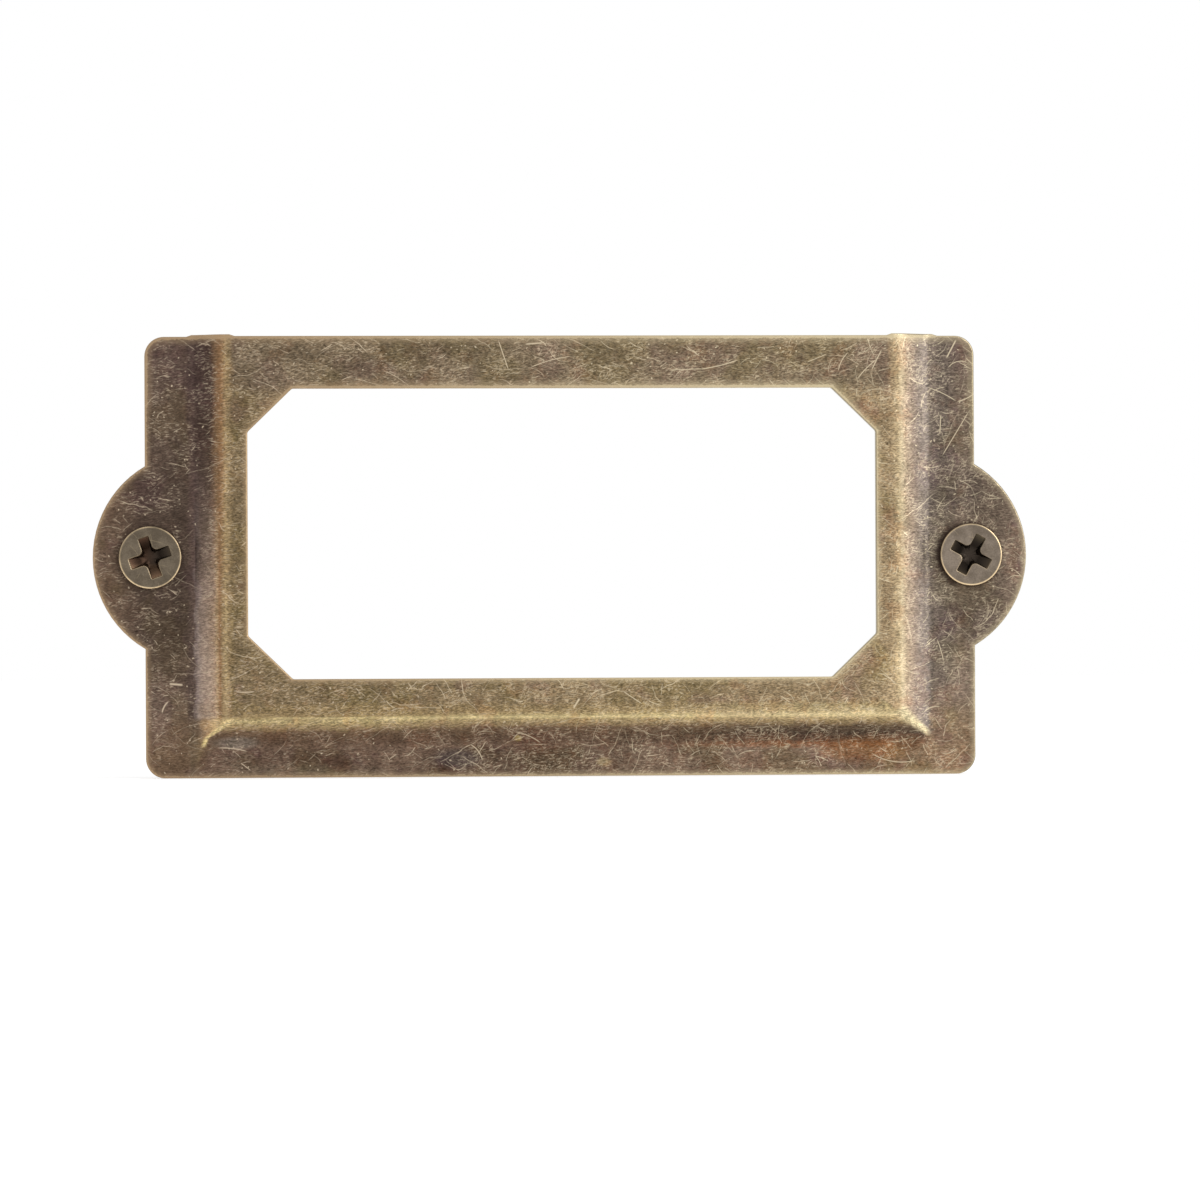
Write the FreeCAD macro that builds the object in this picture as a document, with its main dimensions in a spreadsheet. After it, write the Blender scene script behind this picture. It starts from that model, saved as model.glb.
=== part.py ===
import FreeCAD, Part
import Sketcher
import os

# Drawer label holder: one pressed brass sheet with a raised, windowed panel and two round ears,
# fixed to a drawer front by two countersunk wood screws with cross recesses.
#
# Frame, in millimetres: X to the right, Z up, Y away from the viewer and into the drawer.
# The back of the flange lies on Y = 0, and the origin is midway between the two screws.
# The panel stands off the drawer by the card gap and is open at the top, where a card slides in.

DRIVING_SIZES = (
    # sheet and outline
    ("sheet_thickness", 0.6),
    ("overall_width", 70.0),
    ("body_height", 32.9),
    ("corner_radius", 1.45),
    ("ear_radius", 7.9),
    ("ear_reach", 3.9),
    # inwards from each side: flange, run of the sloping wall, then the panel's band beside the window
    ("left_flange", 3.68),
    ("left_run", 1.82),
    ("left_band", 2.1),
    ("right_flange", 3.56),
    ("right_run", 2.08),
    ("right_band", 1.96),
    ("lower_flange", 2.34),
    ("lower_run", 2.15),
    ("lower_band", 2.86),
    ("top_band", 3.93),
    # raised panel and its bends
    ("card_gap", 1.4),
    ("left_foot_radius", 0.2),
    ("lower_foot_radius", 0.8),
    ("right_foot_radius", 1.0),
    ("shoulder_radius", 2.0),
    ("hip_radius", 1.4),
    # the top edge stands up slightly where the walls run out through it
    ("land_height", 0.13),
    ("land_ramp", 0.4),
    ("land_overrun", 0.1),
    # cut corners of the window
    ("bevel_across", 3.33),
    ("bevel_up", 3.23),
    ("window_corner_radius", 0.3),
    # screw holes, set in from the ear tips, and cut edges
    ("screw_inset", 4.25),
    ("hole_diameter", 3.2),
    ("seat_depth", 0.2),
    ("edge_rounding", 0.12),
    # screws
    ("head_diameter", 4.65),
    ("head_rim", 0.2),
    ("head_rounding", 0.08),
    ("shank_diameter", 2.5),
    ("screw_length", 10.0),
    ("point_length", 2.4),
    ("seat_clearance", 0.02),
    # cross recess: wing tip to wing tip, wing width and corner between wings, at its mouth and floor
    ("mouth_span", 3.12),
    ("mouth_wing", 0.78),
    ("mouth_corner", 0.7),
    ("floor_span", 1.5),
    ("floor_wing", 0.6),
    ("floor_corner", 0.5),
    ("recess_depth", 1.1),
    ("recess_tip", 0.25),
    # turn of each recess from level, counter-clockwise from the front, in degrees
    ("left_turn", 19.0),
    ("right_turn", 61.5),
    # the forming block runs past the trimmed sheet by this much on every side
    ("form_margin", 6.0),
)

DERIVED_SIZES = (
    ("panel_front", "=sheet_thickness + card_gap"),
    ("half_width", "=overall_width / 2 - ear_reach"),
    ("half_height", "=body_height / 2"),
    ("left_foot", "=half_width - left_flange"),
    ("left_top", "=left_foot - left_run"),
    ("window_left", "=left_top - left_band"),
    ("right_foot", "=half_width - right_flange"),
    ("right_top", "=right_foot - right_run"),
    ("window_right", "=right_top - right_band"),
    ("lower_foot", "=half_height - lower_flange"),
    ("lower_top", "=lower_foot - lower_run"),
    ("window_foot", "=lower_top - lower_band"),
    ("window_top", "=half_height - top_band"),
    # where the bends of the side walls begin on the flange and end on the panel
    ("left_half_slope", "=tan(atan(card_gap / left_run) / 2)"),
    ("right_half_slope", "=tan(atan(card_gap / right_run) / 2)"),
    ("left_bend_start", "=left_foot + left_foot_radius * left_half_slope"),
    ("left_bend_end", "=left_top - shoulder_radius * left_half_slope"),
    ("right_bend_start", "=right_foot + right_foot_radius * right_half_slope"),
    ("right_bend_end", "=right_top - shoulder_radius * right_half_slope"),
    ("left_land_outside", "=left_bend_start + land_overrun"),
    ("left_land_inside", "=left_bend_end - land_overrun"),
    ("right_land_outside", "=right_bend_start + land_overrun"),
    ("right_land_inside", "=right_bend_end - land_overrun"),
    ("form_half_width", "=overall_width / 2 + form_margin"),
    ("form_half_height", "=half_height + form_margin"),
    ("ear_centre", "=overall_width / 2 - ear_radius"),
    ("screw_place", "=overall_width / 2 - screw_inset"),
    # heights along a screw, from the back of the flange towards the viewer
    ("cone_at_face", "=hole_diameter / 2 + seat_depth - seat_clearance * sqrt(2)"),
    ("shank_start", "=sheet_thickness - cone_at_face + shank_diameter / 2"),
    ("rim_start", "=sheet_thickness - cone_at_face + head_diameter / 2"),
    ("head_top", "=rim_start + head_rim"),
    ("screw_tip", "=head_top - screw_length"),
    ("point_start", "=screw_tip + point_length"),
    ("recess_floor", "=head_top - recess_depth"),
)

TOLERANCE = 1e-4


# Spreadsheet

def make_sheet(doc):
    """The sheet that every sketch and feature takes its sizes from."""
    sheet = doc.addObject("Spreadsheet::Sheet", "sizes")
    for row, (alias, value) in enumerate(DRIVING_SIZES + DERIVED_SIZES, start=1):
        sheet.set(f"A{row}", alias)
        sheet.set(f"B{row}", str(value))
        sheet.setAlias(f"B{row}", alias)
    doc.recompute()
    return sheet


def size(sheet, alias):
    return float(sheet.get(alias))


# Sketches

def new_sketch(body, name, role):
    """An empty sketch on one of the body's own origin planes."""
    sketch = body.newObject("Sketcher::SketchObject", name)
    plane = next(item for item in body.Origin.OriginFeatures if item.Role == role)
    sketch.AttachmentSupport = [(plane, "")]
    sketch.MapMode = "FlatFace"
    return sketch


def bind(sketch, constraint, name, expression):
    index = sketch.addConstraint(constraint)
    sketch.renameConstraint(index, name)
    sketch.setExpression(f"Constraints.{name}", expression)


def place_point(sketch, curve, point, name, across, up):
    """Hold a curve's point at a distance across and up from the sketch's origin."""
    here = (float(sketch.evalExpression(across)), float(sketch.evalExpression(up)))
    bind(sketch, Sketcher.Constraint("DistanceX", -1, 1, curve, point, here[0]), f"{name}_across", across)
    bind(sketch, Sketcher.Constraint("DistanceY", -1, 1, curve, point, here[1]), f"{name}_up", up)


def add_polygon(sketch, corners):
    """A closed outline through corners given as pairs of expressions."""
    places = []
    for across, up in corners:
        x = float(sketch.evalExpression(across))
        y = float(sketch.evalExpression(up))
        places.append(FreeCAD.Vector(x, y, 0))
    first = sketch.GeometryCount
    count = len(places)
    for index in range(count):
        line = Part.LineSegment(places[index], places[(index + 1) % count])
        sketch.addGeometry(line, False)
    for index in range(count):
        after = (index + 1) % count
        sketch.addConstraint(Sketcher.Constraint("Coincident", first + index, 2, first + after, 1))
    for index, (across, up) in enumerate(corners):
        place_point(sketch, first + index, 1, f"corner{first + index}", across, up)


def add_circle(sketch, across, up, radius):
    value = float(sketch.evalExpression(radius))
    centre = FreeCAD.Vector(
        float(sketch.evalExpression(across)),
        float(sketch.evalExpression(up)),
        0,
    )
    curve = sketch.addGeometry(Part.Circle(centre, FreeCAD.Vector(0, 0, 1), value), False)
    place_point(sketch, curve, 3, f"centre{curve}", across, up)
    bind(sketch, Sketcher.Constraint("Radius", curve, value), f"radius{curve}", radius)


# Features

def add_pad(body, name, sketch, length):
    """A pad grown equally to both sides of its sketch."""
    pad = body.newObject("PartDesign::Pad", name)
    pad.Profile = sketch
    pad.Midplane = True
    pad.setExpression("Length", length)
    body.Document.recompute()
    return pad


def add_through_cut(body, name, sketch):
    """A pocket through everything on both sides of its sketch."""
    pocket = body.newObject("PartDesign::Pocket", name)
    pocket.Profile = sketch
    pocket.Type = "ThroughAll"
    pocket.Midplane = True
    body.Document.recompute()
    return pocket


def add_dressing(body, kind, name, edges, property_name, amount):
    """A fillet or chamfer on chosen edges of the body's last feature."""
    base = body.Tip
    dressing = body.newObject(kind, name)
    dressing.Base = (base, edges)
    dressing.setExpression(property_name, amount)
    body.Document.recompute()
    return dressing


def edge_names(shape, wanted):
    return [f"Edge{index}" for index, edge in enumerate(shape.Edges, start=1) if wanted(edge)]


def lies_at_depth(edge, depth):
    """Whether an edge lies in the plane that is this far in front of the drawer."""
    return all(abs(vertex.Y + depth) < TOLERANCE for vertex in edge.Vertexes)


def runs_along(edge, axis):
    """Whether an edge is straight and parallel to an axis."""
    if edge.Curve.TypeId != "Part::GeomLine":
        return False
    return abs(abs(edge.Curve.Direction.dot(axis)) - 1) < TOLERANCE


# Forming block: its front is the front of the formed sheet, before trimming

def make_press_form(doc, sheet):
    body = doc.addObject("PartDesign::Body", "press_form")
    flange, panel = "-sizes.sheet_thickness", "-sizes.panel_front"
    section = new_sketch(body, "wall_section", "XY_Plane")
    add_polygon(section, (
        ("-sizes.form_half_width", "sizes.form_margin"),
        ("-sizes.form_half_width", flange),
        ("-sizes.left_foot", flange),
        ("-sizes.left_top", panel),
        ("sizes.right_top", panel),
        ("sizes.right_foot", flange),
        ("sizes.form_half_width", flange),
        ("sizes.form_half_width", "sizes.form_margin"),
    ))
    add_pad(body, "walls", section, "2 * sizes.form_half_height")

    beyond = "-sizes.panel_front - sizes.form_margin"
    below = "-sizes.form_half_height - sizes.form_margin"
    wedge = new_sketch(body, "lower_wall_section", "YZ_Plane")
    add_polygon(wedge, (
        (flange, "-sizes.lower_foot"),
        (flange, below),
        (beyond, below),
        (beyond, "-sizes.lower_top"),
        (panel, "-sizes.lower_top"),
    ))
    add_through_cut(body, "lower_wall", wedge)

    flange_depth = size(sheet, "sheet_thickness")
    panel_depth = size(sheet, "panel_front")

    def is_hip(edge):
        depths = sorted(-vertex.Y for vertex in edge.Vertexes)
        if len(depths) != 2 or max(vertex.Z for vertex in edge.Vertexes) > 0:
            return False
        return abs(depths[0] - flange_depth) < TOLERANCE and abs(depths[1] - panel_depth) < TOLERANCE

    hips = edge_names(body.Shape, is_hip)
    add_dressing(body, "PartDesign::Fillet", "hips", hips, "Radius", "sizes.hip_radius")

    end = size(sheet, "form_half_height")

    def is_shoulder(edge):
        at_end = all(abs(vertex.Z - end) < TOLERANCE for vertex in edge.Vertexes)
        return lies_at_depth(edge, panel_depth) and not at_end

    shoulders = edge_names(body.Shape, is_shoulder)
    add_dressing(body, "PartDesign::Fillet", "shoulders", shoulders, "Radius", "sizes.shoulder_radius")
    return body


def round_feet(doc, sheet, form):
    """The bend at the foot of the walls, crisp on the left and softer below and on the right."""
    flange_depth = size(sheet, "sheet_thickness")
    inside = size(sheet, "form_half_width")
    end = size(sheet, "form_half_height")
    left = size(sheet, "left_foot_radius")
    lower = size(sheet, "lower_foot_radius")
    right = size(sheet, "right_foot_radius")
    straight, corners = [], []
    for index, edge in enumerate(form.Shape.Edges, start=1):
        box = edge.BoundBox
        outer = max(abs(box.XMin), abs(box.XMax)) > inside - TOLERANCE
        at_end = box.ZMin > end - TOLERANCE or box.ZMax < TOLERANCE - end
        if not lies_at_depth(edge, flange_depth) or outer or at_end:
            continue
        if runs_along(edge, FreeCAD.Vector(1, 0, 0)):
            straight.append((index, lower, lower))
        elif runs_along(edge, FreeCAD.Vector(0, 0, 1)):
            side = left if box.XMax < 0 else right
            straight.append((index, side, side))
        else:
            side = left if box.XMax < 0 else right
            corners.append((index, (side + lower) / 2, (side + lower) / 2))
    feet = doc.addObject("Part::Fillet", "rounded_feet")
    feet.Base = form
    # the straight bends come last, so each corner runs smoothly from one radius to the next
    feet.Edges = corners + straight
    doc.recompute()
    return feet


def make_formed_sheet(doc, sheet, form):
    """The forming block hollowed from behind and from its four sides, to a sheet of even thickness."""
    flange_depth = size(sheet, "sheet_thickness")
    half_width = size(sheet, "form_half_width")
    half_height = size(sheet, "form_half_height")
    open_faces = []
    for index, face in enumerate(form.Shape.Faces, start=1):
        box = face.BoundBox
        behind = box.YMin > TOLERANCE - flange_depth
        side = box.XMin > half_width - TOLERANCE or box.XMax < TOLERANCE - half_width
        end = box.ZMin > half_height - TOLERANCE or box.ZMax < TOLERANCE - half_height
        if behind or side or end:
            open_faces.append(f"Face{index}")
    hollowed = doc.addObject("Part::Thickness", "formed_sheet")
    hollowed.Faces = (form, open_faces)
    hollowed.setExpression("Value", "-sizes.sheet_thickness")
    doc.recompute()
    return hollowed


# Trimming punch: the outline, the window and the screw holes, cut through in one line

def make_trimming_punch(doc, sheet):
    body = doc.addObject("PartDesign::Body", "trimming_punch")
    through = "2 * (sizes.panel_front + sizes.form_margin)"
    top, land = "sizes.half_height", "sizes.half_height + sizes.land_height"
    outline = new_sketch(body, "body_outline", "XZ_Plane")
    add_polygon(outline, (
        ("-sizes.half_width", "-sizes.half_height"),
        ("sizes.half_width", "-sizes.half_height"),
        ("sizes.half_width", top),
        ("sizes.right_land_outside + sizes.land_ramp", top),
        ("sizes.right_land_outside", land),
        ("sizes.right_land_inside", land),
        ("sizes.right_land_inside - sizes.land_ramp", top),
        ("-sizes.left_land_inside + sizes.land_ramp", top),
        ("-sizes.left_land_inside", land),
        ("-sizes.left_land_outside", land),
        ("-sizes.left_land_outside - sizes.land_ramp", top),
        ("-sizes.half_width", top),
    ))
    add_pad(body, "body_blank", outline, through)

    half_width = size(sheet, "half_width")
    along_y = FreeCAD.Vector(0, 1, 0)

    def is_outer_corner(edge):
        return runs_along(edge, along_y) and abs(abs(edge.Vertexes[0].X) - half_width) < TOLERANCE

    corners = edge_names(body.Shape, is_outer_corner)
    add_dressing(body, "PartDesign::Fillet", "outer_corners", corners, "Radius", "sizes.corner_radius")

    ears = new_sketch(body, "ear_outline", "XZ_Plane")
    for side in ("-", ""):
        add_circle(ears, f"{side}sizes.ear_centre", "0", "sizes.ear_radius")
    add_pad(body, "ears", ears, through)

    window = new_sketch(body, "window_outline", "XZ_Plane")
    add_polygon(window, (
        ("-sizes.window_left + sizes.bevel_across", "-sizes.window_foot"),
        ("sizes.window_right - sizes.bevel_across", "-sizes.window_foot"),
        ("sizes.window_right", "-sizes.window_foot + sizes.bevel_up"),
        ("sizes.window_right", "sizes.window_top - sizes.bevel_up"),
        ("sizes.window_right - sizes.bevel_across", "sizes.window_top"),
        ("-sizes.window_left + sizes.bevel_across", "sizes.window_top"),
        ("-sizes.window_left", "sizes.window_top - sizes.bevel_up"),
        ("-sizes.window_left", "-sizes.window_foot + sizes.bevel_up"),
    ))
    add_through_cut(body, "window", window)

    half_height = size(sheet, "half_height")

    def is_window_corner(edge):
        corner = edge.Vertexes[0]
        inside = abs(corner.X) < half_width - TOLERANCE and abs(corner.Z) < half_height - TOLERANCE
        return runs_along(edge, along_y) and inside

    corners = edge_names(body.Shape, is_window_corner)
    radius = "sizes.window_corner_radius"
    add_dressing(body, "PartDesign::Fillet", "window_corners", corners, "Radius", radius)

    holes = new_sketch(body, "hole_outline", "XZ_Plane")
    for side in ("-", ""):
        add_circle(holes, f"{side}sizes.screw_place", "0", "sizes.hole_diameter / 2")
    add_through_cut(body, "screw_holes", holes)
    return body


# Label frame: the formed sheet trimmed to its outline, with seats for the screws and eased front edges

def facing(face):
    """How far a face looks into the drawer at its middle: -1 is straight at the viewer, 0 is a cut wall."""
    u_min, u_max, v_min, v_max = face.ParameterRange
    return face.normalAt((u_min + u_max) / 2, (v_min + v_max) / 2).y


def make_label_frame(doc, sheet, formed, punch):
    trimmed = doc.addObject("Part::Common", "trimmed_sheet")
    trimmed.Base = formed
    trimmed.Tool = punch
    doc.recompute()

    body = doc.addObject("PartDesign::Body", "label_frame")
    body.BaseFeature = trimmed
    doc.recompute()

    hole_radius = size(sheet, "hole_diameter") / 2
    flange_depth = size(sheet, "sheet_thickness")

    def is_hole_mouth(edge):
        if edge.Curve.TypeId != "Part::GeomCircle":
            return False
        return abs(edge.Curve.Radius - hole_radius) < TOLERANCE and lies_at_depth(edge, flange_depth)

    mouths = edge_names(body.Shape, is_hole_mouth)
    add_dressing(body, "PartDesign::Chamfer", "screw_seats", mouths, "Size", "sizes.seat_depth")

    shape = body.Shape
    seat_radius = hole_radius + size(sheet, "seat_depth") + TOLERANCE
    place = size(sheet, "screw_place")

    def is_front_edge(edge):
        faces = shape.ancestorsOfType(edge, Part.Face)
        if len(faces) != 2:
            return False
        middle = edge.BoundBox.Center
        at_hole = abs(abs(middle.x) - place) < seat_radius and abs(middle.z) < seat_radius
        front, wall = sorted(facing(face) for face in faces)
        return not at_hole and front < -TOLERANCE and abs(wall) < TOLERANCE

    front_edges = edge_names(shape, is_front_edge)
    add_dressing(body, "PartDesign::Fillet", "eased_edges", front_edges, "Radius", "sizes.edge_rounding")
    return body


# Screws: turned head, cone and shank, with a tapered cross recess

def add_cross(body, name, height, span, wing, corner, turn):
    """A cross of four wings with bevelled inner corners, level with a height along the screw."""
    sketch = new_sketch(body, name, "XY_Plane")
    sketch.setExpression("AttachmentOffset.Base.z", height)
    sketch.setExpression("AttachmentOffset.Rotation.Angle", turn)
    reach, side, inner = f"{span} / 2", f"{wing} / 2", corner
    quarter = ((reach, side), (inner, side), (side, inner), (side, reach))
    corners = list(quarter)
    corners += [(f"-({across})", up) for across, up in reversed(quarter)]
    corners += [(f"-({across})", f"-({up})") for across, up in quarter]
    corners += [(across, f"-({up})") for across, up in reversed(quarter)]
    add_polygon(sketch, corners)
    return sketch


def make_screw(doc, sheet, label, side, turn):
    """One screw along its own Z axis, with the head at the top and Z = 0 at the back of the flange."""
    body = doc.addObject("PartDesign::Body", label)
    profile = new_sketch(body, f"{label}_profile", "XZ_Plane")
    add_polygon(profile, (
        ("0", "sizes.screw_tip"),
        ("sizes.shank_diameter / 2", "sizes.point_start"),
        ("sizes.shank_diameter / 2", "sizes.shank_start"),
        ("sizes.head_diameter / 2", "sizes.rim_start"),
        ("sizes.head_diameter / 2", "sizes.head_top"),
        ("0", "sizes.head_top"),
    ))
    turned = body.newObject("PartDesign::Revolution", f"{label}_blank")
    turned.Profile = profile
    turned.ReferenceAxis = (profile, ["V_Axis"])
    turned.Angle = 360
    doc.recompute()

    head_top = size(sheet, "head_top")

    def is_head_edge(edge):
        return edge.Closed and all(abs(vertex.Z - head_top) < TOLERANCE for vertex in edge.Vertexes)

    rims = edge_names(body.Shape, is_head_edge)
    add_dressing(body, "PartDesign::Fillet", f"{label}_rim", rims, "Radius", "sizes.head_rounding")

    mouth = add_cross(
        body, f"{label}_mouth", "sizes.head_top",
        "sizes.mouth_span", "sizes.mouth_wing", "sizes.mouth_corner", turn,
    )
    floor = add_cross(
        body, f"{label}_floor", "sizes.recess_floor",
        "sizes.floor_span", "sizes.floor_wing", "sizes.floor_corner", turn,
    )
    recess = body.newObject("PartDesign::SubtractiveLoft", f"{label}_recess")
    recess.Profile = mouth
    recess.Sections = [floor]
    recess.Ruled = True
    doc.recompute()

    tip = new_sketch(body, f"{label}_tip_profile", "XZ_Plane")
    add_polygon(tip, (
        ("0", "sizes.recess_floor - sizes.recess_tip"),
        ("sizes.floor_corner", "sizes.recess_floor"),
        ("0", "sizes.recess_floor"),
    ))
    tip_cut = body.newObject("PartDesign::Groove", f"{label}_recess_tip")
    tip_cut.Profile = tip
    tip_cut.ReferenceAxis = (tip, ["V_Axis"])
    tip_cut.Angle = 360
    doc.recompute()

    # the head looks at the viewer, along minus Y
    body.Placement = FreeCAD.Placement(FreeCAD.Vector(), FreeCAD.Rotation(FreeCAD.Vector(1, 0, 0), 90))
    body.setExpression("Placement.Base.x", f"{side}sizes.screw_place")
    doc.recompute()
    return body


# Checks and export

def check_document(doc, parts):
    for item in doc.Objects:
        faults = {"Invalid", "Error"} & set(item.State)
        if faults:
            raise RuntimeError(f"{item.Name} did not build: {faults}")
    for part in parts:
        shape = part.Shape
        if shape.isNull() or not shape.isValid() or len(shape.Solids) != 1:
            raise RuntimeError(f"{part.Label} is not one sound solid")


def main():
    doc = FreeCAD.newDocument("drawer_label_holder")
    sheet = make_sheet(doc)
    form = make_press_form(doc, sheet)
    feet = round_feet(doc, sheet, form)
    formed = make_formed_sheet(doc, sheet, feet)
    punch = make_trimming_punch(doc, sheet)
    parts = [make_label_frame(doc, sheet, formed, punch)]
    parts.append(make_screw(doc, sheet, "screw_left", "-", "sizes.left_turn"))
    parts.append(make_screw(doc, sheet, "screw_right", "", "sizes.right_turn"))
    doc.recompute()
    check_document(doc, parts)
    os.makedirs("parts", exist_ok=True)
    for part in parts:
        part.Shape.exportStep(f"parts/{part.Label}.step")
        box = part.Shape.BoundBox
        print(part.Label, f"{part.Shape.Volume:.2f} mm3", len(part.Shape.Faces), "faces", box)


main()
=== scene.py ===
import bmesh
import bpy
import math
from mathutils import Matrix, Vector


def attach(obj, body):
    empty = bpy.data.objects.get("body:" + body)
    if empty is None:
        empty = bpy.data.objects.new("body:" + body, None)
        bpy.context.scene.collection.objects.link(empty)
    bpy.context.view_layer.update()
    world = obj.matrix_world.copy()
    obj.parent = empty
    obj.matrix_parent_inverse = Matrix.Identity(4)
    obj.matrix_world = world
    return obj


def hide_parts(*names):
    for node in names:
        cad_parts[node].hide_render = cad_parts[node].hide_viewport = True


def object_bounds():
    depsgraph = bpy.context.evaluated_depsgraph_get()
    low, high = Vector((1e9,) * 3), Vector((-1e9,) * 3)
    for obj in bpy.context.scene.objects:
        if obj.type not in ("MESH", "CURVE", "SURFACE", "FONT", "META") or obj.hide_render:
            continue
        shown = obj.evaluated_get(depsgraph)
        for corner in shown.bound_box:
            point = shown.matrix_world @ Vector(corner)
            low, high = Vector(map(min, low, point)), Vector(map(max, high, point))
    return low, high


# Drawer label holder: the pressed frame keeps its solid and gets an antique brass finish.
# Each screw is replaced by a mesh with a softened cross recess and a real thread.
# Places below are in millimetres, X right, Z up, Y into the drawer, and become metres on the way in.
# Colours are written as display values, 0 to 255 a channel, and linear() turns them into the shaders' form.

MM = 0.001

# outline of the sheet
BODY_SIDE, BODY_TOP, CORNER_RADIUS = 31.1, 16.45, 1.45
EAR_RADIUS, EAR_CENTRE = 7.9, 27.1

# window: half width, foot, top, and the run of its cut corners
WINDOW_SIDE, WINDOW_FOOT, WINDOW_TOP = 23.5, -9.10, 12.52
BEVEL_ACROSS, BEVEL_UP = 3.33, 3.23

# top lines of the raised panel's bends
LEFT_TOP, RIGHT_TOP, LOWER_TOP = -25.60, 25.46, -11.96
# the hips: how far below the top corner each one starts, the slope of both, the blend of the foot's corner,
# and how the left bend swings outwards below its corner
LEFT_HIP, RIGHT_HIP = 0.78, -0.08
HIP_SLOPE, HIP_BLEND, LEFT_BULGE = 0.7, 2.5, 0.33

# the left half's values change to the right half's over this distance, each side of the middle
MIDDLE = 1.0
# the back takes its patterns from a part of the plane this far to the right
BACK_PATTERN = 70.0
# and to the bends' own colours it lies this far off, out of their reach
BACK_BENDS = 1000.0

# screws: heights are from the back of the flange towards the viewer
SCREW_PLACE = 30.75
HEAD_RADIUS = 2.325
HEAD_ROUNDING = 0.08
RIM_START, HEAD_TOP = 1.153, 1.353
RIM_EASE = 0.02
# how far inside the rim's rounding its wear starts, and has grown to 0.6
WEAR_START, WEAR_GROWN = 0.06, 0.01
NECK_RADIUS, NECK_END = 0.98, -0.40
# the cone runs into the neck from this far above its end to this far below
EASE_ABOVE, EASE_BELOW = 0.12, 0.08
SHANK_RADIUS, CORE_RADIUS = 1.25, 0.88
THREAD_PITCH, THREAD_FADE = 1.1, 0.9
SCREW_TIP, POINT_LENGTH = -8.6467, 2.4
TURN_SEGMENTS = 96
# rows of the thread along one pitch, each with its share of the thread's depth
THREAD_ROWS = ((0.0, 0.0), (0.28, 0.0), (0.44, 0.92), (0.47, 1.0), (0.53, 1.0), (0.56, 0.92), (0.72, 0.0))

# cross recess, at the face of the head and at its floor: span, width and corner radius of the wings
MOUTH = (3.12, 0.78, 0.78)
FLOOR = (1.50, 0.60, 0.50)
RECESS_DEPTH, RECESS_TIP = 1.1, 0.25
WING_ROUNDING = 0.05
# rows of its eased mouth: depth under the face, growth of the outline, how worn and how deep each counts
MOUTH_ROWS = (
    (0.0, 0.1, 0.0, 0.0),
    (0.008, 0.055, 0.1, 0.0),
    (0.03, 0.018, 0.4, 0.05),
    (0.07, 0.0, 0.15, 0.25),
)
# the row high on its wall: share of the way down, and how deep it counts
WALL_SHARE, WALL_DEEP = 0.12, 0.6
# how far each head is turned, in degrees
SCREW_TURNS = {"screw_left": 19.0, "screw_right": 61.5}

# points closer than this are one, and bends sharper than this, in degrees, stay sharp
WELD_DISTANCE, SHARP_ANGLE = 0.0005, 40.0

# camera: place in millimetres, turns in degrees, focal length in pixels of a 1200 by 1200 picture
CAMERA_PLACE = (-40.06, -550.0, -6.47)
CAMERA_YAW, CAMERA_PITCH, CAMERA_ROLL = -4.466, 0.33, 0.269
FOCAL_PIXELS, PICTURE_PIXELS = 7365.7, 1200
SENSOR_WIDTH = 36.0
# nearest distance that the camera sees, in metres
CLIP_START = 0.01

# studio: how strongly the world lights the object, and what the eye gets from the floor on top
WORLD_FILL, FLOOR_GLOW = 0.8, 0.4
# half the side of the floor, in metres, and its colour
FLOOR_REACH = 1.5
FLOOR_COLOR = (0.8, 0.8, 0.8, 1.0)
SOFTBOXES = (
    # name, place in metres, side in metres, radiance
    ("key", (0.55, -0.55, 0.30), 0.40, 4.0),
    ("side", (0.80, -0.20, 0.10), 0.45, 2.0),
)

WHITE = (1.0, 1.0, 1.0, 1.0)
BLACK = (0.0, 0.0, 0.0, 1.0)

# each layer of scratches is shifted from the last by this much
LAYER_SHIFT = (17.3, 9.1)
# full height of the metals' fine relief, in metres
RELIEF_HEIGHT = 0.00002


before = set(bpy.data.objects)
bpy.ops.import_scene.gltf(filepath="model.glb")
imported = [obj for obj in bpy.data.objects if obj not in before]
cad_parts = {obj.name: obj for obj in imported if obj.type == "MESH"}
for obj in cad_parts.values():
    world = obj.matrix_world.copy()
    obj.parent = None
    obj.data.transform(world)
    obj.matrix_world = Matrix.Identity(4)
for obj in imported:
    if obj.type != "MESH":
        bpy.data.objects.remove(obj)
cad_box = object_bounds()


# Shader nodes

def linear(red, green, blue):
    """A colour written as a display value, 0 to 255 a channel, in the linear form that shaders take."""
    channels = []
    for channel in (red, green, blue):
        share = channel / 255
        channels.append(share / 12.92 if share <= 0.04045 else ((share + 0.055) / 1.055) ** 2.4)
    return (*channels, 1.0)


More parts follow.
